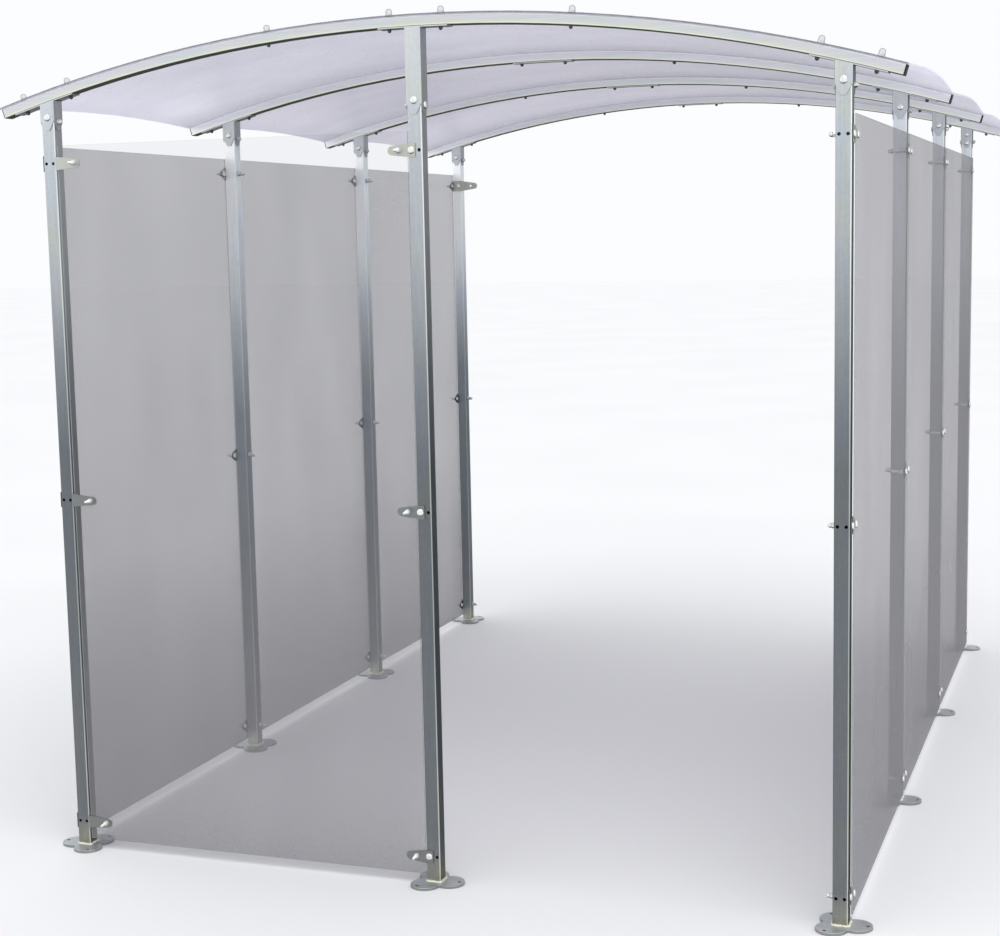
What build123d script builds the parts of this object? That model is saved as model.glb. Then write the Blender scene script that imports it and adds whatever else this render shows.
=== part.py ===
from build123d import *
import math
import os

os.makedirs("parts", exist_ok=True)

# Millimetres. +Z up, +Y into the depth, the open front faces -Y.
# Four rows of posts carry four roof hoops; clear sheets hang outside the posts.

ROWS = [-1620.0, -540.0, 540.0, 1620.0]
HALF = 1120.0                     # post centre to middle of the shelter

POST_W, POST_D, POST_T, POST_R = 40.0, 40.0, 2.0, 3.0
FOOT_T = 8.0

HOOP_H, HOOP_D, HOOP_T = 27.0, 40.0, 2.0
CROWN = 2356.0                    # top of the hoop at the middle
R_TOP = 4385.0
R_MID = R_TOP - HOOP_H / 2
R_LOW = R_TOP - HOOP_H
ZC = CROWN - R_TOP                # hoop centre, far below the floor
HOOP_ANG = math.degrees(math.asin(1268.0 / R_TOP))
HOOP_AXIS = Axis((0, 0, ZC), (0, 1, 0))

ROOF_T = 4.0
ROOF_BULGE = 20.0
ROOF_ANG = math.degrees(math.asin(1274.0 / (R_TOP + ROOF_T)))

CLIPS = [80.0, 1045.0, 2010.0]    # heights of the sheet clips
PANEL_T, LUG_T = 4.0, 3.0
PANEL_Z0, PANEL_Z1 = 30.0, 2060.0
PLATE_T = 3.0                     # head bracket plate

HOLE_R = 4.5


def save(shape, name):
    export_step(shape, "parts/%s.step" % name)


def compound(solids):
    return Compound(children=list(solids))


def hoop_z(x, r=R_LOW):
    return ZC + math.sqrt(r * r - x * x)


def sketch_z(sk, z0, h):
    return extrude(Pos(0, 0, z0) * sk, amount=h)


def box(x0, x1, y0, y1, z0, z1):
    return Pos((x0 + x1) / 2, (y0 + y1) / 2, (z0 + z1) / 2) * Box(x1 - x0, y1 - y0, z1 - z0)


# ---- posts: square tube standing on the foot plate ----
def post(x, y, z_top, holes=()):
    sk = RectangleRounded(POST_W, POST_D, POST_R) - RectangleRounded(
        POST_W - 2 * POST_T, POST_D - 2 * POST_T, POST_R - POST_T)
    tube = sketch_z(sk, FOOT_T, z_top - FOOT_T)
    for hx, hz in holes:
        tube -= Pos(hx, -POST_D / 2 + POST_T / 2, hz) * Rot(90, 0, 0) * Cylinder(HOLE_R, POST_T + 2)
    return Pos(x, y, 0) * tube.solid()


side_top = hoop_z(HALF + POST_W / 2) - PLATE_T - 2.0
for i, y in enumerate(ROWS, 1):
    left = [(s, z) for z in CLIPS for s in (-11.0, 11.0)] if i == 1 else []
    right = [(s, z) for z in CLIPS for s in (-11.0, 11.0)] if i == 1 else []
    save(post(-HALF, y, side_top, left), "post_left_%d" % i)
    save(post(HALF, y, side_top, right), "post_right_%d" % i)
# the middle post is the same stock length: its head bracket makes up the height to the crown
save(post(0, ROWS[0], side_top, [(11.0, z) for z in CLIPS]), "post_front_middle")


# ---- foot plates: three broad lobes, one anchor hole near each lobe's tip ----
def foot(x, y, mirror):
    sk = Sketch()
    for a in (0, 120, 240):
        sk += Pos(40 * math.cos(math.radians(a)), 40 * math.sin(math.radians(a))) * Circle(41.0)
    sk = fillet(sk.vertices(), 5.0)
    plate = sketch_z(sk, 0, FOOT_T)
    plate = chamfer(plate.edges().group_by(Axis.Z)[-1], 0.8)
    for a in (0, 120, 240):
        plate -= Pos(68 * math.cos(math.radians(a)), 68 * math.sin(math.radians(a)),
                     FOOT_T / 2) * Cylinder(5.0, FOOT_T + 2)
    plate = plate.solid()
    if mirror:
        plate = Rot(0, 0, 180) * plate
    return Pos(x, y, 0) * plate


for i, y in enumerate(ROWS, 1):
    save(foot(-HALF, y, True), "foot_plate_left_%d" % i)
    save(foot(HALF, y, False), "foot_plate_right_%d" % i)
save(foot(0, ROWS[0], False), "foot_plate_front_middle")


# ---- roof hoops: bent rectangular tube with black end plugs ----
def swept(sk, ang):
    return revolve(sk.rotate(HOOP_AXIS, -ang), axis=HOOP_AXIS, revolution_arc=2 * ang)


def crown_plane(y):
    return Plane(origin=(0, y, ZC + R_MID), x_dir=(0, 1, 0), z_dir=(1, 0, 0))


def hoop(y):
    sk = crown_plane(y) * (RectangleRounded(HOOP_D, HOOP_H, 3) - RectangleRounded(
        HOOP_D - 2 * HOOP_T, HOOP_H - 2 * HOOP_T, 1))
    return swept(sk, HOOP_ANG).solid()


for i, y in enumerate(ROWS, 1):
    save(hoop(y), "roof_hoop_%d" % i)


def end_cap(y, side):
    head = extrude(crown_plane(y) * RectangleRounded(HOOP_D - 0.4, HOOP_H - 0.4, 3), amount=3.0)
    head = chamfer(head.edges().group_by(Axis.X)[-1], 0.8)
    plug = extrude(crown_plane(y) * RectangleRounded(HOOP_D - 2 * HOOP_T - 0.5, HOOP_H - 2 * HOOP_T - 0.5, 1),
                   amount=-16.0)
    cap = (head + plug).solid()
    cap = cap.rotate(HOOP_AXIS, HOOP_ANG)
    return cap if side > 0 else cap.mirror(Plane.YZ)


save(compound([end_cap(y, s) for y in ROWS for s in (-1, 1)]), "hoop_end_caps")


# ---- roof sheets: vaulted between the hoops, flat where they lie on them ----
def roof_sheet(y0, y1, edge0, edge1):
    a, b = y0 + edge0, y1 + edge1
    f0, f1 = y0 + HOOP_D / 2, y1 - HOOP_D / 2
    ym = (f0 + f1) / 2
    r0 = ZC + R_TOP

    def curve(up):
        return [Line((0, a, r0 + up), (0, f0, r0 + up)),
                ThreePointArc((0, f0, r0 + up), (0, ym, r0 + up + ROOF_BULGE), (0, f1, r0 + up)),
                Line((0, f1, r0 + up), (0, b, r0 + up))]

    edges = curve(0) + curve(ROOF_T) + [Line((0, a, r0), (0, a, r0 + ROOF_T)),
                                        Line((0, b, r0), (0, b, r0 + ROOF_T))]
    face = Face(Wire(edges))
    return swept(face, ROOF_ANG).solid()


save(roof_sheet(ROWS[0], ROWS[1], -26.0, -2.0), "roof_sheet_front")
save(roof_sheet(ROWS[1], ROWS[2], 2.0, -2.0), "roof_sheet_middle")
save(roof_sheet(ROWS[2], ROWS[3], 2.0, 26.0), "roof_sheet_back")


# ---- head brackets: sloping plate under the hoop with four flaps round the post ----
def tongue_cut(width, z_corner, z_tip, half_tip):
    # outline of one flap seen square on, corners cut to a rounded tongue
    pts = [(-width / 2, z_corner), (-half_tip, z_tip), (half_tip, z_tip), (width / 2, z_corner),
           (width / 2, z_corner + 400), (-width / 2, z_corner + 400)]
    return Polygon(*pts, align=None)


FLAP_TIP = hoop_z(HALF) - 80.0


def head_bracket(x, y, outward):
    zu = hoop_z(x)
    zt = FLAP_TIP                 # all flaps end at the same height
    slope = math.degrees(math.asin(x / R_LOW))
    wall = 2.6
    ow, od = POST_W + 2 * wall + 0.4, POST_D + 2 * wall + 0.4
    sk = RectangleRounded(ow, od, 3.4) - RectangleRounded(ow - 2 * wall, od - 2 * wall, 0.8)
    sleeve = sketch_z(sk, zt - 4, zu - zt + 20)
    front = extrude(Plane.XZ * Pos(0, 0) * tongue_cut(ow + 0.02, zt + 30, zt, 6.5), amount=od, both=True)
    side = extrude(Plane.YZ * tongue_cut(od + 0.02, zt + 28, zt, 6.5), amount=ow, both=True)
    # the front and back flaps keep the front outline, the side flaps the side outline
    fb = box(-ow, ow, -od, -od / 2 + wall, zt - 10, zu + 90) + box(-ow, ow, od / 2 - wall, od, zt - 10, zu + 90)
    lr = box(-ow, -ow / 2 + wall, -od, od, zt - 10, zu + 90) + box(ow / 2 - wall, ow, -od, od, zt - 10, zu + 90)
    low = box(-ow, ow, -od, od, zt - 10, zt + 30)
    sleeve = sleeve - low + (sleeve & low & fb & front) + (sleeve & low & lr & side)
    sleeve = Pos(x, y, 0) * sleeve
    # plate follows the underside of the hoop
    plate_sk = Plane(origin=(0, y, ZC + R_LOW), x_dir=(0, 1, 0), z_dir=(1, 0, 0)) * Pos(0, -PLATE_T / 2) * Rectangle(
        HOOP_D + 1, PLATE_T)
    ang = math.degrees(98.0 / R_LOW)
    plate = revolve(plate_sk.rotate(HOOP_AXIS, -ang), axis=HOOP_AXIS, revolution_arc=2 * ang)
    plate = plate.rotate(HOOP_AXIS, slope + math.degrees(outward * 12.0 / R_LOW))
    # trim the sleeve to the plate's underside
    keep = Plane(origin=(0, y, ZC), x_dir=(1, 0, 0), z_dir=(0, -1, 0)) * Circle(R_LOW - PLATE_T / 2)
    keep = extrude(keep, amount=60, both=True)
    body = (sleeve & keep) + plate
    return body.solid()


save(compound([head_bracket(-HALF, y, -1) for y in ROWS]), "head_brackets_left")
save(compound([head_bracket(HALF, y, 1) for y in ROWS]), "head_brackets_right")
save(head_bracket(0, ROWS[0], 0), "head_bracket_front_middle")


# ---- splice plates under the crown of the three rear hoops ----
def splice(y):
    sk = Plane(origin=(0, y, ZC + R_LOW), x_dir=(0, 1, 0), z_dir=(1, 0, 0)) * Pos(0, -1.5) * Rectangle(HOOP_D - 6, 3)
    ang = math.degrees(98.0 / R_LOW)
    return revolve(sk.rotate(HOOP_AXIS, -ang), axis=HOOP_AXIS, revolution_arc=2 * ang).solid()


save(compound([splice(y) for y in ROWS[1:]]), "hoop_splice_plates")


# ---- sheet clips: leaf-shaped lugs on the outer faces of the side posts ----
def taper(x0, tip, h, r):
    # from half height h at x0 down to a round tip of radius r
    c = tip - r
    d = math.hypot(c - x0, h)
    a = math.atan2(-h, c - x0) + math.asin(r / d)
    run = math.sqrt(d * d - r * r)
    tx, ty = x0 + run * math.cos(a), h + run * math.sin(a)
    return Polygon((x0, -h), (tx, -ty), (tx, ty), (x0, h), align=None) + Pos(c, 0) * Circle(r)


def leaf(x0, x1, a=None, b=None, h=22.0, r=13.0):
    # full height between x0 and x1, drawn out to round tips at a (left) and b (right)
    sk = Pos((x0 + x1) / 2, 0) * Rectangle(x1 - x0, 2 * h)
    if b is not None:
        sk += taper(x1, b, h, r)
    if a is not None:
        sk += taper(-x0, -a, h, r).mirror(Plane.YZ)
    return sk


def side_lug(x_face, sign, y, z, sk):
    pl = Plane(origin=(x_face, y, z), x_dir=(0, 1, 0), z_dir=(1, 0, 0))
    return extrude(pl * sk, amount=LUG_T, dir=(sign, 0, 0)).solid()


def side_lugs(sign):
    out = []
    for i, y in enumerate(ROWS):
        a = -46.0 if i > 0 else None
        b = 46.0 if i < 3 else None
        for z in CLIPS:
            out.append(side_lug(sign * (HALF + POST_W / 2), sign, y, z, leaf(-18.0, 18.0, a, b, r=14.0)))
    return compound(out)


save(side_lugs(-1), "sheet_lugs_left")
save(side_lugs(1), "sheet_lugs_right")


# ---- front clips: lugs on the middle post, angles on the left post, one spare lug at the back ----
def face_lug(x0, y_face, z, sk, hole=None):
    pl = Plane(origin=(x0, y_face, z), x_dir=(1, 0, 0), z_dir=(0, -1, 0))
    lug = extrude(pl * sk, amount=LUG_T, dir=(0, -1, 0))
    if hole is not None:
        lug -= Pos(x0 + hole, y_face - LUG_T / 2, z) * Rot(90, 0, 0) * Cylinder(HOLE_R, LUG_T + 2)
    return lug.solid()


front_face = ROWS[0] - POST_D / 2
clips = [face_lug(0, front_face, z, leaf(-20.0, 1.0, a=-78.0, h=18.0, r=12.0)) for z in CLIPS]
for z in CLIPS:
    x_in = -HALF + POST_W / 2
    tongue = face_lug(-HALF, front_face, z, leaf(POST_W / 2, POST_W / 2 + 8.0, b=98.0, h=18.0, r=12.0))
    leg = box(x_in, x_in + LUG_T, front_face - LUG_T, front_face + 22.0, z - 18, z + 18)
    clips.append((tongue + leg).solid())
clips.append(face_lug(-HALF, ROWS[3] - POST_D / 2, CLIPS[2], leaf(-20.0, 20.0, b=97.0, h=23.0, r=13.0), hole=66.0))
save(compound(clips), "front_and_back_clips")


# ---- clear wall sheets ----
def wall(x0, x1, y0, y1):
    return box(x0, x1, y0, y1, PANEL_Z0, PANEL_Z1).solid()


GAP = 12.0
xo = HALF + POST_W / 2 + LUG_T
for k, name in enumerate(("front", "middle", "back")):
    ya, yb = ROWS[k] + GAP, ROWS[k + 1] - GAP
    save(wall(-xo - PANEL_T, -xo, ya, yb), "left_sheet_%s" % name)
    save(wall(xo, xo + PANEL_T, ya, yb), "right_sheet_%s" % name)
save(wall(-HALF + 26.0, -22.0, front_face, front_face + PANEL_T), "front_sheet")
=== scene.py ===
import math
import random

import bpy
from mathutils import Matrix, Vector


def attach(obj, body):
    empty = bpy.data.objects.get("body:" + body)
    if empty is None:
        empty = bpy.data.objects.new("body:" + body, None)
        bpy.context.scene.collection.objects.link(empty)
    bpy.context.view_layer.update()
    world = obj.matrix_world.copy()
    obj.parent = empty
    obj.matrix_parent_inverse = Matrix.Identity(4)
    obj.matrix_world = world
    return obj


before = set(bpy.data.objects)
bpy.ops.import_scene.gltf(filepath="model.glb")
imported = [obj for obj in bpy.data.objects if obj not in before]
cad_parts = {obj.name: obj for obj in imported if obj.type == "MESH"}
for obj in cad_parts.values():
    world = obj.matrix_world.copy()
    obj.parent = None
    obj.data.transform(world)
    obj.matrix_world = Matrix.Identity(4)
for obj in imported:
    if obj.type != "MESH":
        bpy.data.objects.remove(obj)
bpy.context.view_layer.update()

random.seed(7)

# ------------------------------------------------------------------ sizes (metres)
ROWS = [-1.62, -0.54, 0.54, 1.62]
HALF = 1.12
PW, PD = 0.040, 0.040
FOOT_T = 0.008
R_TOP, R_LOW = 4.385, 4.358
ZC = 2.356 - R_TOP
ROOF_T = 0.004
CLIPS = [0.080, 1.045, 2.010]
PLATE_T = 0.003
LUG_T = 0.003
SHEET_T = 0.004
SLEEVE_X, SLEEVE_Y = 0.0228, 0.0228


# ------------------------------------------------------------------ node helpers
class Mat:
    def __init__(self, name):
        self.m = bpy.data.materials.new(name)
        self.m.use_nodes = True
        self.t = self.m.node_tree
        self.t.nodes.clear()
        self.out = self.t.nodes.new("ShaderNodeOutputMaterial")
        self.co = self.t.nodes.new("ShaderNodeTexCoord").outputs["Object"]

    def n(self, kind, **k):
        node = self.t.nodes.new(kind)
        for a, b in k.items():
            setattr(node, a, b)
        return node

    def put(self, sock, v):
        if hasattr(v, "is_output") or isinstance(v, bpy.types.NodeSocket):
            self.t.links.new(v, sock)
        else:
            sock.default_value = v

    def mapping(self, scale, loc=(0, 0, 0), rot=(0, 0, 0), co=None):
        n = self.n("ShaderNodeMapping")
        self.put(n.inputs["Vector"], co or self.co)
        n.inputs["Scale"].default_value = scale
        n.inputs["Location"].default_value = loc
        n.inputs["Rotation"].default_value = rot
        return n.outputs[0]

    def noise(self, co, scale=5.0, detail=3.0, rough=0.5, dist=0.0):
        n = self.n("ShaderNodeTexNoise")
        self.put(n.inputs["Vector"], co)
        n.inputs["Scale"].default_value = scale
        n.inputs["Detail"].default_value = detail
        n.inputs["Roughness"].default_value = rough
        n.inputs["Distortion"].default_value = dist
        return n.outputs[0]

    def voronoi(self, co, scale, out="Color"):
        n = self.n("ShaderNodeTexVoronoi")
        self.put(n.inputs["Vector"], co)
        n.inputs["Scale"].default_value = scale
        return n.outputs[out]

    def ramp(self, fac, stops, interp="LINEAR"):
        n = self.n("ShaderNodeValToRGB")
        cr = n.color_ramp
        cr.interpolation = interp
        while len(cr.elements) > 1:
            cr.elements.remove(cr.elements[-1])
        cr.elements[0].position = stops[0][0]
        cr.elements[0].color = self.c4(stops[0][1])
        for p, c in stops[1:]:
            e = cr.elements.new(p)
            e.color = self.c4(c)
        self.put(n.inputs[0], fac)
        return n.outputs[0]

    @staticmethod
    def c4(c):
        if isinstance(c, (int, float)):
            return (c, c, c, 1)
        return tuple(c) + (1,) if len(c) == 3 else tuple(c)

    def mix(self, fac, a, b, blend="MIX"):
        n = self.n("ShaderNodeMix", data_type="RGBA", blend_type=blend)
        self.put(n.inputs[0], fac)
        for s, v in ((n.inputs[6], a), (n.inputs[7], b)):
            self.put(s, v if isinstance(v, bpy.types.NodeSocket) else self.c4(v))
        return n.outputs[2]

    def math(self, op, a, b=0.0, clamp=False):
        n = self.n("ShaderNodeMath", operation=op, use_clamp=clamp)
        self.put(n.inputs[0], a)
        self.put(n.inputs[1], b)
        return n.outputs[0]

    def rng(self, v, a, b, c, d):
        n = self.n("ShaderNodeMapRange")
        self.put(n.inputs[0], v)
        for i, x in zip((1, 2, 3, 4), (a, b, c, d)):
            n.inputs[i].default_value = x
        return n.outputs[0]

    def xyz(self, co=None):
        n = self.n("ShaderNodeSeparateXYZ")
        self.put(n.inputs[0], co or self.co)
        return n.outputs

    def normal(self):
        return self.n("ShaderNodeNewGeometry").outputs["Normal"]

    def cast(self, side=0.58, right=0.6, under=0.18, top=1.12):
        """Painted light and shade by face direction: a factor for side faces and for the right posts' outer sides
        (painted shade), painted shade on undersides and painted light on tops.
        """
        nx, ny, nz = self.xyz(self.normal())
        x = self.xyz()[0]
        f = self.rng(self.math("ABSOLUTE", nx), 0.55, 0.95, 1.0, side)
        k = self.math("MULTIPLY", self.rng(x, 1.00, 1.05, 0.0, 1.0), self.rng(nx, 0.6, 0.9, 0.0, 1.0))
        f = self.math("MULTIPLY", f, self.rng(k, 0.0, 1.0, 1.0, right))
        f = self.math("MULTIPLY", f, self.rng(nz, -0.75, -0.25, under, 1.0))
        return self.math("MULTIPLY", f, self.rng(nz, 0.35, 0.9, 1.0, top))

    def corner(self, lo=0.12, hi=0.97):
        """Mask for a painted highlight: 1 on the rounded upright edges that look forwards and to the right."""
        nx, ny, nz = self.xyz(self.normal())
        k = self.math("MULTIPLY", self.rng(nx, lo, lo + 0.15, 0.0, 1.0), self.rng(nx, hi - 0.12, hi, 1.0, 0.0))
        return self.math("MULTIPLY", k, self.rng(ny, -0.25, -0.12, 1.0, 0.0))

    def times(self, col, f):
        v = self.n("ShaderNodeVectorMath", operation="SCALE")
        self.put(v.inputs[0], col)
        self.put(v.inputs["Scale"], f)
        return v.outputs[0]

    def bump(self, h, strength=0.2, dist=0.001):
        n = self.n("ShaderNodeBump")
        n.inputs["Strength"].default_value = strength
        n.inputs["Distance"].default_value = dist
        self.put(n.inputs["Height"], h)
        return n.outputs[0]

    def bsdf(self, color, rough, metal=0.0, normal=None, **k):
        n = self.n("ShaderNodeBsdfPrincipled")
        self.put(n.inputs["Base Color"], color if isinstance(color, bpy.types.NodeSocket) else self.c4(color))
        self.put(n.inputs["Roughness"], rough)
        self.put(n.inputs["Metallic"], metal)
        if normal is not None:
            self.put(n.inputs["Normal"], normal)
        for a, b in k.items():
            self.put(n.inputs[a.replace("_", " ")], b)
        return n.outputs[0]

    def finish(self, shader):
        self.t.links.new(shader, self.out.inputs["Surface"])
        return self.m


# ------------------------------------------------------------------ zinc
def zinc(name, stops, cast=(0.58, 0.6, 0.18, 1.12), yellow_foot=0.0, yellow_all=0.0, streak=0.16, blotch=0.12,
         rough=(0.30, 0.48), metal=0.82, spread=2.36, paint_post_light=False, warm=0.55, fore=False):
    """Bright zinc: tone by height from the given stops, drawn-tube streaks along Z, cool and warm passivate clouds,
    painted light and shade by face direction; for the posts also painted shade inside the tubes, painted light on the
    rear posts, a darker bluish band at each clip and a painted highlight on the front-right corners.
    """
    m = Mat(name)
    x, y, z = m.xyz()
    zz = m.math("ADD", m.math("DIVIDE", z, spread), m.math("MULTIPLY", m.math("SUBTRACT", m.noise(m.mapping((3, 3, 1.4)), 1.0, 2.0), 0.5), 0.10))
    col = m.ramp(zz, stops)
    # long streaks left by drawing and dipping
    st = m.noise(m.mapping((160, 160, 2.2)), 1.0, 3.0, 0.55)
    col = m.mix(1.0, col, m.ramp(st, [(0.25, 1 - streak), (0.5, 1.0), (0.78, 1 + streak * 0.8)]), "MULTIPLY")
    fine = m.noise(m.mapping((420, 420, 9)), 1.0, 1.0, 0.5)
    col = m.mix(1.0, col, m.ramp(fine, [(0.3, 0.95), (0.7, 1.04)]), "MULTIPLY")
    # clouds: blue-grey against straw
    cl = m.noise(m.mapping((14, 14, 6)), 1.0, 3.0, 0.6, 0.6)
    col = m.mix(m.ramp(cl, [(0.45, 0.0), (0.72, blotch)]), col, m.mix(1.0, col, (0.86, 0.98, 1.16), "MULTIPLY"))
    cl2 = m.noise(m.mapping((9, 9, 5), loc=(3.1, 1.7, 0.4)), 1.0, 3.0, 0.6, 0.8)
    wf = m.ramp(cl2, [(0.48, 0.0), (0.75, warm + yellow_all)])
    col = m.mix(wf, col, m.mix(1.0, col, (1.08, 1.06, 0.82), "MULTIPLY"))
    if yellow_foot:
        g = m.rng(z, 0.008, 0.095, 1.0, 0.0)
        g = m.math("MULTIPLY", g, m.ramp(m.noise(m.mapping((60, 60, 18)), 1.0, 3.0), [(0.3, 0.35), (0.7, 1.0)]), True)
        g = m.math("MULTIPLY", g, yellow_foot)
        col = m.mix(g, col, (0.46, 0.44, 0.27))
    # small spangle of the coating
    sp = m.voronoi(m.mapping((1, 1, 0.5)), 240)
    spv = m.xyz(sp)[0]
    col = m.mix(1.0, col, m.ramp(spv, [(0.0, 0.965), (1.0, 1.035)]), "MULTIPLY")
    f = m.cast(*cast)
    if fore:
        # narrow front ends of the side lugs lie in the posts' shade
        k = m.math("MULTIPLY", m.rng(m.math("ABSOLUTE", x), 1.1385, 1.1395, 0.0, 1.0), m.rng(m.xyz(m.normal())[1], -0.9, -0.6, 1.0, 0.0))
        f = m.math("MULTIPLY", f, m.rng(k, 0.0, 1.0, 1.0, 0.25))
    if paint_post_light:
        # the unlit inside of the tubes
        dx = m.math("ABSOLUTE", m.math("SUBTRACT", m.math("ABSOLUTE", x), HALF))
        dx = m.math("MINIMUM", dx, m.math("ABSOLUTE", x))
        dy = None
        for yr in ROWS:
            d = m.math("ABSOLUTE", m.math("SUBTRACT", y, yr))
            dy = d if dy is None else m.math("MINIMUM", dy, d)
        inside = m.math("MULTIPLY", m.math("LESS_THAN", dx, 0.0186), m.math("LESS_THAN", dy, 0.0136))
        f = m.math("MULTIPLY", f, m.rng(inside, 0.0, 1.0, 1.0, 0.03))
        # mask for a painted highlight: the front-right rounded corners, widened onto the right edge of each front face,
        # kept off the tube's inside
        lx = m.math("SUBTRACT", m.math("FRACT", m.math("ADD", m.math("DIVIDE", x, HALF), 8.5)), 0.5)
        strip = m.math("MULTIPLY", m.math("GREATER_THAN", lx, 0.0172 / HALF), m.rng(m.xyz(m.normal())[1], -0.3, -0.15, 1.0, 0.0))
        edge = m.math("MULTIPLY", m.math("MAXIMUM", m.corner(), strip), m.rng(inside, 0.0, 1.0, 1.0, 0.0))
        # painted light: posts behind the first row are painted brighter, most of all in their upper half
        k = m.math("MULTIPLY", m.rng(x, -1.05, -1.0, 1.0, 0.0), m.rng(y, -1.5, -0.7, 0.0, 1.0))
        k = m.math("MULTIPLY", k, m.rng(z, 0.9, 1.5, 0.75, 1.25))
        k2 = m.math("MULTIPLY", m.rng(x, 1.0, 1.05, 0.0, 1.0), m.rng(y, -1.5, -0.7, 0.0, 1.0))
        k = m.math("ADD", k, m.math("MULTIPLY", k2, m.rng(z, 0.9, 1.5, 0.05, 0.45)))
        f = m.math("MULTIPLY", f, m.math("ADD", k, 1.0))
        # the painted highlight is fainter on the rear rows and varies with height
        edge = m.math("MULTIPLY", edge, m.rng(y, -1.58, -0.56, 0.95, 0.55))
        edge = m.math("MULTIPLY", edge, m.ramp(m.math("DIVIDE", z, 2.36), [(0.0, 0.62), (0.12, 0.55), (0.28, 0.34), (0.55, 0.40), (0.75, 0.75), (1.0, 0.9)]))
    col = m.times(col, f)
    if paint_post_light:
        # a darker bluish band at each clip height, where the clip's bolt passes through, on the left posts behind the
        # first
        band = None
        for zc in CLIPS:
            d = m.math("ABSOLUTE", m.math("SUBTRACT", z, zc))
            band = d if band is None else m.math("MINIMUM", band, d)
        band = m.math("MULTIPLY", m.rng(band, 0.012, 0.021, 0.30, 0.0), m.rng(x, -1.05, -1.0, 1.0, 0.0))
        band = m.math("MULTIPLY", band, m.rng(y, -1.5, -0.7, 0.0, 1.0))
        col = m.mix(band, col, m.mix(1.0, col, (0.62, 0.78, 0.92), "MULTIPLY"))
        # painted highlight along the front-right corners, greenish cream low down and near white higher up
        col = m.mix(edge, col, m.mix(m.rng(z, 0.9, 2.0, 0.0, 1.0), (0.84, 0.88, 0.74), (0.95, 0.96, 0.93)))
    rn = m.noise(m.mapping((40, 40, 8)), 1.0, 2.0, 0.6)
    r = m.rng(rn, 0.3, 0.7, rough[0], rough[1])
    scr = m.noise(m.mapping((900, 900, 14)), 1.0, 1.0)
    h = m.math("ADD", m.math("MULTIPLY", scr, 0.25), m.math("MULTIPLY", rn, 1.0))
    share = m.rng(m.xyz(m.normal())[2], -0.75, -0.25, 0.0, metal)
    return m.finish(m.bsdf(col, r, share, m.bump(h, 0.10, 0.0006), Specular_IOR_Level=0.1, Specular_Tint=(0.4, 0.4, 0.42, 1.0)))


# painted reflection: the posts' tone rises with height, dark low down where the zinc mirrors the ground and light at
# the top where it mirrors the sky
POST = [(0.0, (0.24, 0.25, 0.26)), (0.05, (0.170, 0.180, 0.192)), (0.30, (0.150, 0.164, 0.177)), (0.50, (0.150, 0.165, 0.182)),
        (0.62, (0.25, 0.268, 0.290)), (0.74, (0.42, 0.445, 0.470)), (0.86, (0.53, 0.565, 0.59)), (1.0, (0.66, 0.68, 0.69))]


def lift(stops, k):
    return [(p, tuple(min(1.0, v * k) for v in c)) for p, c in stops]


# painted reflection: the lugs' tone rises with height as on the posts
CLIP = [(0.0, (0.23, 0.235, 0.22)), (0.45, (0.22, 0.23, 0.225)), (0.62, (0.27, 0.285, 0.27)), (0.80, (0.50, 0.52, 0.46)), (1.0, (0.56, 0.58, 0.52))]

# the third argument paints light and shade by face direction: side faces, the right posts' outer sides, undersides,
# tops
M_POST = zinc("zinc_post", POST, (0.66, 0.55, 0.18, 1.12), yellow_foot=0.55, paint_post_light=True, streak=0.05, blotch=0.22)
M_BRACKET = zinc("zinc_bracket", lift(POST, 1.02), (0.66, 0.55, 0.12, 1.12), streak=0.04, blotch=0.2, rough=(0.34, 0.5))
M_CLIP = zinc("zinc_clip", CLIP, (0.9, 1.0, 0.15, 1.5), streak=0.04, blotch=0.3, warm=0.18, rough=(0.3, 0.46), fore=True)
M_SHADE = zinc("zinc_shaded", [(0.0, (0.10, 0.10, 0.105)), (1.0, (0.12, 0.12, 0.125))], (0.9, 1.0, 0.3, 1.0), streak=0.04, warm=0.1, metal=0.4)
M_BOLT = zinc("zinc_bolt", [(0.0, (0.78, 0.79, 0.79)), (1.0, (0.84, 0.85, 0.85))], (0.9, 1.0, 0.05, 1.35), streak=0.04, blotch=0.1,
              rough=(0.16, 0.28), metal=0.60)


def foot_material():
    m = Mat("zinc_foot")
    x, y, z = m.xyz()
    col = m.ramp(m.noise(m.mapping((22, 22, 22)), 1.0, 4.0, 0.6, 0.4), [(0.3, (0.40, 0.425, 0.44)), (0.52, (0.48, 0.505, 0.515)), (0.75, (0.57, 0.585, 0.58))])
    col = m.mix(m.ramp(m.noise(m.mapping((70, 70, 70)), 1.0, 2.0), [(0.5, 0.0), (0.8, 0.5)]), col, (0.34, 0.38, 0.46))
    col = m.mix(m.ramp(m.noise(m.mapping((34, 34, 34), loc=(5, 2, 1)), 1.0, 3.0), [(0.55, 0.0), (0.85, 0.7)]), col, (0.50, 0.47, 0.33))
    # painted shade: the foot plate's edges and undersides darker than its top
    n = m.xyz(m.normal())[2]
    col = m.mix(m.ramp(n, [(0.3, 0.55), (0.75, 0.0)]), col, (0.16, 0.165, 0.17))
    rn = m.noise(m.mapping((120, 120, 120)), 1.0, 4.0, 0.6)
    return m.finish(m.bsdf(col, m.rng(rn, 0.3, 0.7, 0.36, 0.58), 0.75, m.bump(rn, 0.16, 0.0008)))


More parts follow.
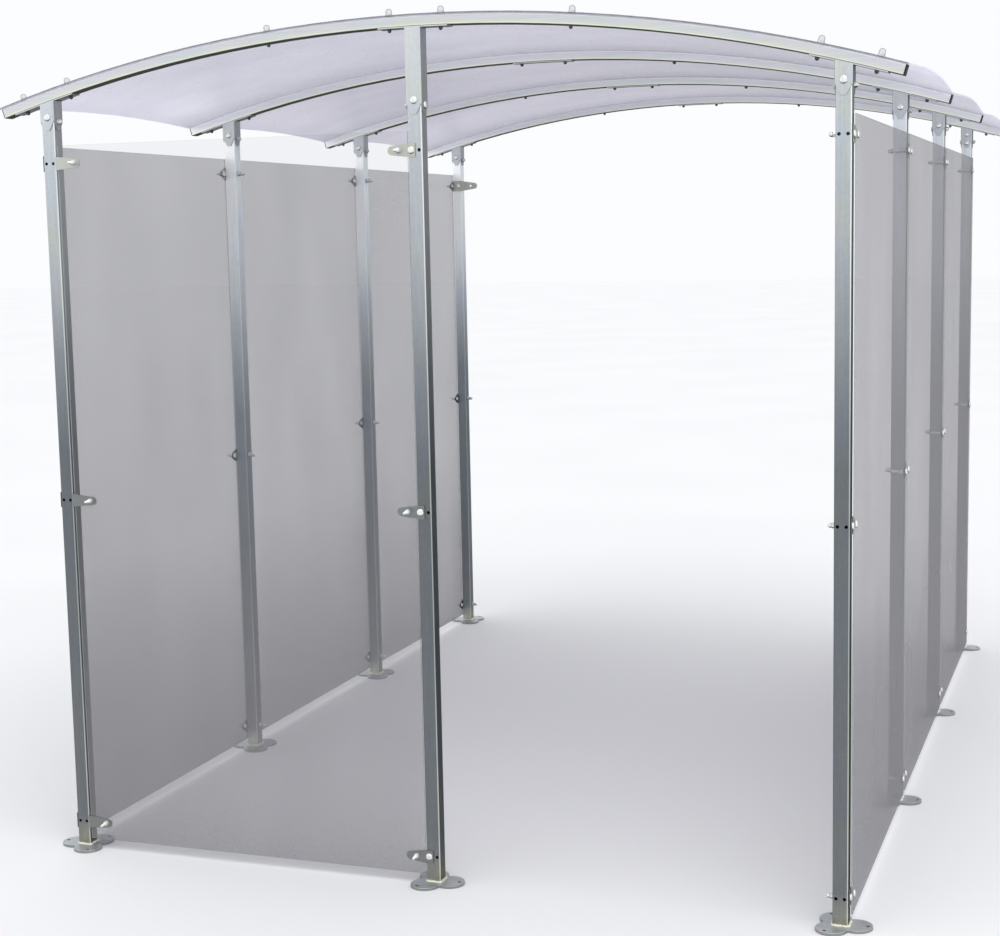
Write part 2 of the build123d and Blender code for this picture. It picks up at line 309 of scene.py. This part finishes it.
def hoop_material():
    """Zinc hoop: painted highlight on the upper edge, a lighter lower edge, straw and pale green clouds on the web,
    painted shade on the undersides, the rear hoops painted lighter.
    """
    m = Mat("zinc_hoop")
    x, y, z = m.xyz()
    # height inside the tube's section, from 0 at the underside to 1 on top
    r = m.n("ShaderNodeVectorMath", operation="LENGTH")
    sub = m.n("ShaderNodeCombineXYZ")
    m.put(sub.inputs[0], x)
    m.put(sub.inputs[2], m.math("SUBTRACT", z, ZC))
    m.put(r.inputs[0], sub.outputs[0])
    t = m.rng(r.outputs["Value"], R_LOW, R_TOP, 0.0, 1.0)
    # across the section: the upper rounded edge painted near white as a highlight, the lower edge lighter and greenish
    # (its green the zinc's own, its lightness a painted reflection), mid grey between
    tone_and_highlight = m.ramp(t, [(0.0, (0.80, 0.83, 0.72)), (0.11, (0.80, 0.83, 0.72)), (0.18, (0.66, 0.69, 0.62)), (0.45, (0.64, 0.65, 0.68)),
                      (0.82, (0.65, 0.66, 0.69)), (0.90, (0.93, 0.94, 0.95)), (1.0, (0.95, 0.95, 0.96))])
    cl = m.noise(m.mapping((5, 5, 5)), 1.0, 4.0, 0.6, 0.7)
    col = m.mix(m.ramp(cl, [(0.46, 0.0), (0.70, 0.40)]), tone_and_highlight, m.mix(1.0, tone_and_highlight, (1.03, 1.05, 0.86), "MULTIPLY"))
    cl2 = m.noise(m.mapping((7, 7, 7), loc=(2, 4, 1)), 1.0, 3.0, 0.6, 0.5)
    col = m.mix(m.ramp(cl2, [(0.5, 0.0), (0.74, 0.4)]), col, m.mix(1.0, col, (0.88, 0.98, 1.02), "MULTIPLY"))
    st = m.noise(m.mapping((5, 200, 200)), 1.0, 3.0, 0.5)
    col = m.mix(1.0, col, m.ramp(st, [(0.3, 0.95), (0.7, 1.04)]), "MULTIPLY")
    # painted light: the rear hoops painted brighter than the front one; painted shade on the undersides
    f = m.math("MULTIPLY", m.rng(y, -1.65, -0.50, 1.0, 1.32), m.cast(1.0, 1.0, 0.08, 1.0))
    col = m.times(col, f)
    rn = m.noise(m.mapping((30, 60, 60)), 1.0, 4.0, 0.6)
    share = m.rng(m.xyz(m.normal())[2], -0.75, -0.25, 0.0, 0.80)
    return m.finish(m.bsdf(col, m.rng(rn, 0.3, 0.7, 0.28, 0.44), share, m.bump(rn, 0.10, 0.0006), Specular_IOR_Level=0.0,
                           Specular_Tint=(0.6, 0.6, 0.62, 1.0)))


def plastic_black():
    m = Mat("black_plug")
    g = m.noise(m.mapping((300, 300, 300)), 1.0, 3.0)
    col = m.ramp(g, [(0.3, (0.010, 0.010, 0.011)), (0.7, (0.022, 0.022, 0.023))])
    return m.finish(m.bsdf(col, m.rng(g, 0.3, 0.7, 0.6, 0.75), 0.0, m.bump(g, 0.15, 0.0003), Specular_IOR_Level=0.12))


def facing(m):
    """0 square on, towards 1 at grazing."""
    return m.n("ShaderNodeLayerWeight").outputs["Facing"]


def roof_material():
    """Translucent roof sheet: lavender grey, a little cloudy, dust in the valleys over the hoops."""
    m = Mat("roof_sheet")
    x, y, z = m.xyz()
    cloud = m.noise(m.mapping((1.6, 2.4, 1.6)), 1.0, 3.0, 0.55)
    dust = m.noise(m.mapping((60, 60, 60)), 1.0, 2.0, 0.65)
    col = m.ramp(cloud, [(0.28, (0.70, 0.695, 0.745)), (0.5, (0.745, 0.735, 0.79)), (0.72, (0.79, 0.78, 0.83))])
    # painted light: tone across the arch, lighter at the left, darker towards the right, lighter again at the right
    # eave; the front bay a little lighter than the rest
    col = m.times(col, m.ramp(m.rng(x, -1.28, 1.28, 0.0, 1.0), [(0.0, 1.04), (0.4, 1.0), (0.85, 0.90), (0.93, 0.95), (1.0, 1.12)]))
    col = m.times(col, m.rng(y, -0.7, -0.4, 1.04, 0.95))
    ny = m.xyz(m.normal())[1]
    col = m.times(col, m.rng(m.math("ABSOLUTE", ny), 0.6, 0.85, 1.0, 0.14))
    # nearness to a hoop, where grime gathers along the joint
    near = None
    for yr in ROWS:
        d = m.math("ABSOLUTE", m.math("SUBTRACT", y, yr))
        near = d if near is None else m.math("MINIMUM", near, d)
    joint = m.rng(near, 0.0, 0.16, 1.0, 0.0)
    col = m.mix(m.math("MULTIPLY", joint, m.ramp(dust, [(0.35, 0.15), (0.7, 0.55)]), True), col, (0.50, 0.50, 0.545))
    streak = m.noise(m.mapping((6.0, 9.0, 6.0)), 1.0, 3.0, 0.5)
    col = m.mix(1.0, col, m.ramp(streak, [(0.3, 0.985), (0.7, 1.015)]), "MULTIPLY")
    op = m.rng(cloud, 0.25, 0.75, 0.70, 0.80)
    op = m.math("ADD", op, m.math("MULTIPLY", m.math("POWER", facing(m), 3.0), 0.2), True)
    r = m.rng(dust, 0.3, 0.7, 0.26, 0.42)
    p = m.bsdf(col, r, 0.0, m.bump(dust, 0.03, 0.0004))
    tl = m.n("ShaderNodeBsdfTranslucent")
    m.put(tl.inputs["Color"], m.mix(1.0, col, (1.12, 1.12, 1.12), "MULTIPLY"))
    both = m.n("ShaderNodeMixShader")
    both.inputs[0].default_value = 0.45
    m.put(both.inputs[1], p)
    m.put(both.inputs[2], tl.outputs[0])
    tr = m.n("ShaderNodeBsdfTransparent")
    tr.inputs["Color"].default_value = (0.93, 0.92, 0.97, 1)
    mx = m.n("ShaderNodeMixShader")
    m.put(mx.inputs[0], op)
    m.put(mx.inputs[1], tr.outputs[0])
    m.put(mx.inputs[2], both.outputs[0])
    return m.finish(mx.outputs[0])


def clear_material(name, thin_axis, dust, slant):
    """Clear sheet: faint smoke tint, glossy at a slant, edges pale green-grey and nearly opaque, a dusty lower band."""
    m = Mat(name)
    x, y, z = m.xyz()
    nrm = m.xyz(m.normal())[thin_axis]
    edge = m.ramp(m.math("ABSOLUTE", nrm), [(0.4, 1.0), (0.6, 0.0)])
    film = m.noise(m.mapping((3.0, 3.0, 1.2)), 1.0, 1.0, 0.6)
    speck = m.noise(m.mapping((160, 160, 160)), 1.0, 0.0)
    low = m.rng(z, 0.03, 0.32, 1.0, 0.0)
    haze = m.math("MULTIPLY", m.ramp(m.math("DIVIDE", z, 2.06), dust), m.rng(film, 0.3, 0.75, 0.93, 1.07))
    haze = m.math("ADD", haze, m.math("MULTIPLY", low, m.ramp(speck, [(0.45, 0.0), (0.75, 0.05)])))
    # a sheet seen at a slant shows more of its film
    fac = m.math("MULTIPLY", haze, m.math("ADD", 1.0, m.math("MULTIPLY", m.math("POWER", facing(m), 4.0), slant)), True)
    fac = m.math("MAXIMUM", fac, m.math("MULTIPLY", edge, 0.72))
    col = m.mix(edge, (0.27, 0.265, 0.28), (0.50, 0.56, 0.555))
    p = m.bsdf(col, m.rng(speck, 0.3, 0.7, 0.45, 0.6), 0.0, Specular_IOR_Level=0.0)
    tr = m.n("ShaderNodeBsdfTransparent")
    tr.inputs["Color"].default_value = (0.970, 0.970, 0.974, 1)
    mx = m.n("ShaderNodeMixShader")
    m.put(mx.inputs[0], fac)
    m.put(mx.inputs[1], tr.outputs[0])
    m.put(mx.inputs[2], p)
    # gloss of the plastic, strongest at a slant
    gs = m.n("ShaderNodeBsdfGlossy")
    m.put(gs.inputs["Roughness"], m.rng(speck, 0.3, 0.7, 0.05, 0.12))
    gx = m.n("ShaderNodeMixShader")
    m.put(gx.inputs[0], m.math("ADD", 0.015, m.math("MULTIPLY", m.math("POWER", facing(m), 5.0), 0.07)))
    m.put(gx.inputs[1], mx.outputs[0])
    m.put(gx.inputs[2], gs.outputs[0])
    return m.finish(gx.outputs[0])


def weld_material():
    m = Mat("weld_bead")
    x, y, z = m.xyz()
    n = m.noise(m.mapping((90, 90, 90)), 1.0, 3.0, 0.6)
    col = m.ramp(n, [(0.3, (0.62, 0.60, 0.46)), (0.55, (0.82, 0.81, 0.70)), (0.8, (0.90, 0.90, 0.86))])
    return m.finish(m.bsdf(col, m.rng(n, 0.3, 0.7, 0.30, 0.5), 0.55, m.bump(n, 0.3, 0.0008)))


def cap_material():
    """Clear plastic cap over a roof bolt."""
    m = Mat("clear_cap")
    n = m.noise(m.mapping((250, 250, 250)), 1.0, 3.0)
    p = m.bsdf(m.ramp(n, [(0.3, (0.26, 0.27, 0.28)), (0.7, (0.34, 0.35, 0.36))]), m.rng(n, 0.3, 0.7, 0.10, 0.2), 0.0)
    tr = m.n("ShaderNodeBsdfTransparent")
    tr.inputs["Color"].default_value = (0.93, 0.93, 0.94, 1)
    mx = m.n("ShaderNodeMixShader")
    m.put(mx.inputs[0], m.rng(facing(m), 0.25, 0.75, 0.06, 0.85))
    m.put(mx.inputs[1], tr.outputs[0])
    m.put(mx.inputs[2], p)
    return m.finish(mx.outputs[0])


M_FOOT = foot_material()
M_HOOP = hoop_material()
M_BLACK = plastic_black()
M_ROOF = roof_material()
M_CLEAR_X = clear_material("clear_sheet_side", 0, [(0.0, 0.46), (0.22, 0.43), (0.40, 0.35), (1.0, 0.320)], 0.55)
M_CLEAR_Y = clear_material("clear_sheet_front", 1, [(0.0, 0.35), (0.20, 0.30), (0.45, 0.12), (0.75, 0.05), (1.0, 0.02)], 1.0)
M_WELD = weld_material()
M_CAP = cap_material()

for name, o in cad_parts.items():
    if name.startswith("post_"):
        mat = M_POST
    elif name.startswith("foot_"):
        mat = M_FOOT
    elif name.startswith("roof_hoop"):
        mat = M_HOOP
    elif name == "hoop_end_caps":
        mat = M_BLACK
    elif name.startswith("head_bracket") or name == "hoop_splice_plates":
        mat = M_BRACKET
    elif name.startswith("roof_sheet"):
        mat = M_ROOF
    elif name == "front_sheet":
        mat = M_CLEAR_Y
    elif "_sheet_" in name:
        mat = M_CLEAR_X
    else:
        mat = M_CLIP
    o.data.materials.clear()
    o.data.materials.append(mat)


# ------------------------------------------------------------------ fastener meshes
class Pile:
    """Many small lathed and prismatic pieces in one mesh."""

    def __init__(self):
        self.v, self.f, self.s = [], [], []

    def add(self, verts, faces, smooth, mtx):
        k = len(self.v)
        self.v += [tuple(mtx @ Vector(p)) for p in verts]
        self.f += [tuple(i + k for i in q) for q in faces]
        self.s += [smooth] * len(faces) if isinstance(smooth, bool) else list(smooth)

    def lathe(self, prof, mtx, seg=20, smooth=True):
        verts, faces = [], []
        rings = []
        for r, z in prof:
            if r < 1e-7:
                rings.append([len(verts)])
                verts.append((0, 0, z))
            else:
                rings.append(list(range(len(verts), len(verts) + seg)))
                verts += [(r * math.cos(2 * math.pi * i / seg), r * math.sin(2 * math.pi * i / seg), z) for i in range(seg)]
        for a, b in zip(rings, rings[1:]):
            for i in range(seg):
                j = (i + 1) % seg
                if len(a) == 1 and len(b) == 1:
                    continue
                if len(a) == 1:
                    faces.append((a[0], b[i], b[j]))
                elif len(b) == 1:
                    faces.append((a[i], b[0], a[j]))
                else:
                    faces.append((a[i], b[i], b[j], a[j]))
        # faces wind outwards for a profile that runs from the bottom axis point to the top one
        faces = [tuple(reversed(q)) for q in faces]
        self.add(verts, faces, smooth, mtx)

    def hexnut(self, af, h, mtx, bore=0.0041):
        ro = af / math.sqrt(3)
        c = 0.0009
        prof = [(af / 2 * 0.97, 0.0), (ro, c * 0.6), (ro, h - c), (af / 2 * 0.93, h)]
        verts, faces = [], []
        seg = 12
        for r, z in prof:
            for i in range(seg):
                a = math.pi * 2 * i / seg
                # hexagon radius at this angle, limited by the chamfer cone
                t = (a + math.pi / 6) % (math.pi / 3) - math.pi / 6
                hexr = (af / 2) / math.cos(t)
                rr = min(hexr, r)
                verts.append((rr * math.cos(a), rr * math.sin(a), z))
        n = len(prof)
        for k in range(n - 1):
            for i in range(seg):
                j = (i + 1) % seg
                faces.append((k * seg + i, k * seg + j, (k + 1) * seg + j, (k + 1) * seg + i))
        faces.append(tuple(reversed(range(seg))))
        faces.append(tuple(range((n - 1) * seg, n * seg)))
        self.add(verts, faces, False, mtx)

    def obj(self, name, mat, slot):
        me = bpy.data.meshes.new(name)
        me.from_pydata(self.v, [], self.f)
        me.polygons.foreach_set("use_smooth", self.s)
        me.update()
        o = bpy.data.objects.new(name, me)
        bpy.context.scene.collection.objects.link(o)
        me.materials.append(mat)
        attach(o, "root")
        return o


def at(p, d, spin=0.0):
    """Frame at p with its Z along d."""
    d = Vector(d).normalized()
    q = Vector((0, 0, 1)).rotation_difference(d)
    return Matrix.Translation(Vector(p)) @ q.to_matrix().to_4x4() @ Matrix.Rotation(spin, 4, "Z")


def dome(p, r=0.010, h=0.0052, rim=0.0009):
    prof = [(0, 0.0), (r, 0.0), (r, rim)]
    k = 6
    for i in range(1, k):
        a = math.pi / 2 * i / k
        prof.append((r * math.cos(a), rim + (h - rim) * math.sin(a)))
    prof.append((0, h))
    return prof


def head(pile, p, d, r=0.010, h=0.0056):
    pile.lathe(dome(p, r, h), at(p, d), 24)


def thread(z0, z1, r=0.0039, pitch=0.00125):
    prof = [(0, z0), (r - 0.0004, z0)]
    n = max(1, int((z1 - z0 - 0.001) / pitch))
    z = z0
    for i in range(n):
        prof += [(r - 0.0004, z + 0.15 * pitch), (r + 0.0001, z + 0.5 * pitch), (r - 0.0004, z + 0.85 * pitch)]
        z += pitch
    prof += [(r - 0.0004, z1 - 0.0008), (r - 0.0012, z1), (0, z1)]
    return prof


def nut_end(pile, p, d, stick, spin, washer=0.0085, af=0.013, collar=True):
    """Washer, lock nut and thread end standing stick metres out of the face at p."""
    m = at(p, d, spin)
    pile.lathe([(0, 0), (washer, 0), (washer, 0.0013), (washer - 0.0003, 0.0016), (0, 0.0016)], m, 24, False)
    pile.hexnut(af, 0.0062, m @ Matrix.Translation((0, 0, 0.0016)))
    top = 0.0078
    if collar:
        pile.lathe([(0, top), (0.0058, top), (0.0058, top + 0.0012), (0.0050, top + 0.0020), (0, top + 0.0020)], m, 18)
        top += 0.0019
    if stick > top:
        pile.lathe(thread(top, stick), m, 12, False)


def cap_nut(pile, p, d, stick, spin, washer=0.0092, af=0.013):
    """Washer, hexagon and a long rounded cap."""
    m = at(p, d, spin)
    pile.lathe([(0, 0), (washer, 0), (washer, 0.0013), (washer - 0.0003, 0.0016), (0, 0.0016)], m, 24, False)
    pile.hexnut(af, 0.0065, m @ Matrix.Translation((0, 0, 0.0016)))
    r, z0 = 0.0060, 0.0081
    prof = [(0, z0 - 0.0004), (r, z0 - 0.0004), (r, stick - r)]
    for i in range(1, 6):
        a = math.pi / 2 * i / 6
        prof.append((r * math.cos(a), stick - r + r * math.sin(a)))
    prof.append((0, stick))
    pile.lathe(prof, m, 18)


def spin():
    return random.uniform(0, math.pi / 3)


def hoop_point(x, r):
    n = Vector((x, 0, math.sqrt(R_TOP * R_TOP - x * x))).normalized()
    return n, Vector((0, 0, ZC)) + n * r


# ---- side walls: bolt through each post and lug, one bolt through each sheet corner or middle edge
wall_bolts = {-1: Pile(), 1: Pile()}
for s in (-1, 1):
    P = wall_bolts[s]
    for i, y in enumerate(ROWS):
        for z in CLIPS:
            head(P, (s * (HALF + PW / 2 + LUG_T), y, z), (s, 0, 0))
            inner = PW / 2 + (LUG_T if (s < 0 and i == 0) else 0.0)
            cap_nut(P, (s * (HALF - inner), y, z), (-s, 0, 0), 0.025 if s < 0 else 0.0185, spin())
            for dy in (-0.031, 0.031):
                if (i == 0 and dy < 0) or (i == 3 and dy > 0):
                    continue
                lug, sheet = HALF + PW / 2, HALF + PW / 2 + LUG_T + SHEET_T
                if s < 0:
                    head(P, (-lug, y + dy, z), (1, 0, 0))
                    nut_end(P, (-sheet, y + dy, z), (-1, 0, 0), 0.018, spin())
                else:
                    head(P, (sheet, y + dy, z), (1, 0, 0))
                    cap_nut(P, (lug, y + dy, z), (-1, 0, 0), 0.036, spin(), 0.0080)
wall_bolts[-1].obj("wall_bolts_left", M_BOLT, "bracket_zinc")
wall_bolts[1].obj("wall_bolts_right", M_BOLT, "bracket_zinc")

# ---- front: bolts for the lugs on the middle post and the angles on the left post
P = Pile()
yf = ROWS[0] - PD / 2
for z in CLIPS:
    head(P, (-0.011, yf - LUG_T, z), (0, -1, 0))
    nut_end(P, (-0.011, ROWS[0] + PD / 2, z), (0, 1, 0), 0.014, spin())
    for x in (-0.048, -HALF + 0.080):
        nut_end(P, (x, yf - LUG_T, z), (0, -1, 0), 0.0290, spin(), 0.0075)
        head(P, (x, yf + SHEET_T, z), (0, 1, 0), 0.0095, 0.0052)
yb = ROWS[3] - PD / 2
head(P, (-HALF + 0.008, yb - LUG_T, CLIPS[2]), (0, -1, 0))
nut_end(P, (-HALF + 0.008, ROWS[3] + PD / 2, CLIPS[2]), (0, 1, 0), 0.014, spin())
P.obj("front_clip_bolts", M_BOLT, "bracket_zinc")

# ---- post heads: one bolt front to back, one side to side, through flaps and post
P = Pile()
heads = [(-HALF, y, -1) for y in ROWS] + [(HALF, y, 1) for y in ROWS] + [(0.0, ROWS[0], 0)]
for x, y, s in heads:
    zs = 2.127
    for zf in ((2.158, 2.123) if s > 0 and y == ROWS[3] else (2.139,)):
        head(P, (x, y - SLEEVE_Y, zf), (0, -1, 0))
        nut_end(P, (x, y + SLEEVE_Y, zf), (0, 1, 0), 0.014, spin())
    d = -1 if s == 0 else 1
    nut_end(P, (x + d * SLEEVE_X, y, zs), (d, 0, 0), 0.0118, spin(), 0.0080)
    head(P, (x - d * SLEEVE_X, y, zs), (-d, 0, 0))
P.obj("head_bolts", M_BOLT, "bracket_zinc")

# ---- roof fixings: bolt through sheet and hoop, clear cap on top, nut below
spots = [-0.430, -0.073, 0.073, 0.430, -1.205, -1.060, 1.060, 1.205]
caps, nuts, below = Pile(), Pile(), Pile()
for i, y in enumerate(ROWS):
    dy = {0: 0.0, 1: 0.0, 2: 0.0, 3: 0.0}[i]
    for x in spots:
        n, top = hoop_point(x, R_TOP + ROOF_T)
        top.y = y + dy
        m = at(top, n)
        nuts.lathe([(0, 0), (0.0120, 0), (0.0120, 0.0012), (0.0112, 0.0018), (0, 0.0018)], m, 24, False)
        nuts.hexnut(0.013, 0.0055, m @ Matrix.Translation((0, 0, 0.0018)))
        caps.lathe([(0, 0.0018), (0.0098, 0.0018), (0.0098, 0.0032), (0.0087, 0.0042), (0.0084, 0.0125), (0.0074, 0.0160),
                    (0.0050, 0.0185), (0.0022, 0.0194), (0, 0.0196)], m, 20)
        plate = abs(x) < 0.1 or abs(x) > 1.0
        n, low = hoop_point(x, R_LOW - (PLATE_T if plate else 0.0))
        low.y = y + dy
        m = at(low, -n, spin())
        below.lathe([(0, 0), (0.0068, 0), (0.0068, 0.0012), (0, 0.0012)], m, 20, False)
        below.hexnut(0.0095, 0.0060, m @ Matrix.Translation((0, 0, 0.0012)), 0.0028)
        below.lathe(thread(0.0071, 0.0090, 0.0028), m, 10, False)
nuts.obj("roof_bolts", M_BOLT, "bracket_zinc")
below.obj("roof_bolt_nuts", M_SHADE, "bracket_zinc")
caps.obj("roof_bolt_caps", M_CAP, None)


# ---- weld beads round the foot of every post
def bead_path(hw, hd, rc):
    pts = []
    for cx, cy, a0 in ((hw - rc, hd - rc, 0), (-hw + rc, hd - rc, 90), (-hw + rc, -hd + rc, 180), (hw - rc, -hd + rc, 270)):
        for k in range(6):
            a = math.radians(a0 + 90 * k / 5)
            pts.append((cx + rc * math.cos(a), cy + rc * math.sin(a), math.cos(a), math.sin(a)))
    return pts


def even(pts, step):
    """The closed path again, in even steps."""
    out = []
    n = len(pts)
    for i in range(n):
        a, b = pts[i], pts[(i + 1) % n]
        L = math.hypot(b[0] - a[0], b[1] - a[1])
        k = max(1, int(L / step))
        for j in range(k):
            t = j / k
            p = [a[q] * (1 - t) + b[q] * t for q in range(4)]
            l = math.hypot(p[2], p[3])
            out.append((p[0], p[1], p[2] / l, p[3] / l))
    return out


beads = Pile()
sites = [(s * HALF, y) for s in (-1, 1) for y in ROWS] + [(0.0, ROWS[0])]
for cx, cy in sites:
    path = even(bead_path(PW / 2, PD / 2, 0.003), 0.0011)
    N, K = len(path), 7
    ph = random.uniform(0, 6)
    verts, faces = [], []
    for i, (x, y, nx, ny) in enumerate(path):
        w = 0.0062 + 0.0005 * math.sin(i * 1.15 + ph) + 0.0006 * math.sin(i * 0.21 + ph) + random.uniform(-0.0002, 0.0002)
        hgt = 0.0056 + 0.0005 * math.sin(i * 1.15 + 0.6 + ph) + 0.0005 * math.sin(i * 0.17)
        for k in range(K):
            a = math.pi / 2 * k / (K - 1)
            # quarter round fillet, slightly proud
            r_out = w * math.cos(a) ** 0.8
            z = hgt * math.sin(a) ** 0.8
            verts.append((cx + x + nx * (r_out - 0.0004), cy + y + ny * (r_out - 0.0004), FOOT_T - 0.0002 + z))
        verts.append((cx + x - nx * 0.0006, cy + y - ny * 0.0006, FOOT_T - 0.0002))
    S = K + 1
    for i in range(N):
        j = (i + 1) % N
        for k in range(S):
            l = (k + 1) % S
            faces.append((i * S + k, j * S + k, j * S + l, i * S + l))
    beads.add(verts, faces, True, Matrix.Identity(4))
beads.obj("weld_beads", M_WELD, "foot_zinc")

# ------------------------------------------------------------------ floor, light, camera
floor_mesh = bpy.data.meshes.new("floor")
S = 60.0
floor_mesh.from_pydata([(-S, -S, 0), (S, -S, 0), (S, S, 0), (-S, S, 0)], [], [(0, 1, 2, 3)])
floor = bpy.data.objects.new("floor", floor_mesh)
bpy.context.scene.collection.objects.link(floor)
m = Mat("floor_paint")
fn = m.noise(m.mapping((0.7, 0.7, 0.7)), 1.0, 0.0)
floor_mesh.materials.append(m.finish(m.bsdf(m.ramp(fn, [(0.3, (0.86, 0.86, 0.865)), (0.7, (0.88, 0.88, 0.885))]), 0.9)))

world = bpy.data.worlds.new("studio")
bpy.context.scene.world = world
world.use_nodes = True
wt = world.node_tree
bg = wt.nodes["Background"]
bg.inputs[0].default_value = (0.97, 0.98, 1.0, 1)
bg.inputs[1].default_value = 1.0


def area(name, loc, target, size, power, color=(1, 1, 1)):
    l = bpy.data.lights.new(name, "AREA")
    l.shape = "RECTANGLE"
    l.size, l.size_y = size
    l.energy = power
    l.color = color
    o = bpy.data.objects.new(name, l)
    o.location = loc
    o.rotation_mode = "QUATERNION"
    o.rotation_quaternion = (Vector(target) - Vector(loc)).to_track_quat("-Z", "Y")
    bpy.context.scene.collection.objects.link(o)


sun_data = bpy.data.lights.new("sky_soft", "SUN")
sun_data.energy = 0.42
sun_data.angle = math.radians(60)
sun = bpy.data.objects.new("sky_soft", sun_data)
sun.rotation_euler = (math.radians(24), math.radians(12), 0)
bpy.context.scene.collection.objects.link(sun)

area("key_above", (3.5, -5.0, 6.5), (0, 0, 1.2), (5, 5), 60)
area("strip_right", (4.7, -2.2, 1.45), (0, -1.9, 1.45), (0.6, 3.0), 18)
area("fill_left", (-6.5, -4.5, 3.2), (0, 0, 1.2), (4, 4), 30, (0.96, 0.98, 1.0))

cam_data = bpy.data.cameras.new("camera")
cam = bpy.data.objects.new("camera", cam_data)
bpy.context.scene.collection.objects.link(cam)
yaw, pitch, roll, f_px = 0.3438, -0.1283, -0.0202, 1792.13
cam_data.sensor_fit = "HORIZONTAL"
cam_data.sensor_width = 36.0
cam_data.lens = 36.0 * f_px / 1000.0
cam_data.clip_start, cam_data.clip_end = 0.05, 300
fwd = Vector((-math.sin(yaw) * math.cos(pitch), math.cos(yaw) * math.cos(pitch), math.sin(pitch)))
right = Vector((math.cos(yaw), math.sin(yaw), 0))
up = right.cross(fwd)
r2 = math.cos(roll) * right + math.sin(roll) * up
u2 = -math.sin(roll) * right + math.cos(roll) * up
rot = Matrix((r2, u2, -fwd)).transposed()
cam.rotation_mode = "QUATERNION"
cam.rotation_quaternion = rot.to_quaternion()
cam.location = (1.80669, -6.07465, 1.77911)
bpy.context.scene.camera = cam

vs = bpy.context.scene.view_settings
vs.view_transform = "Standard"
vs.look = "None"
vs.exposure = 0.0
vs.gamma = 1.0
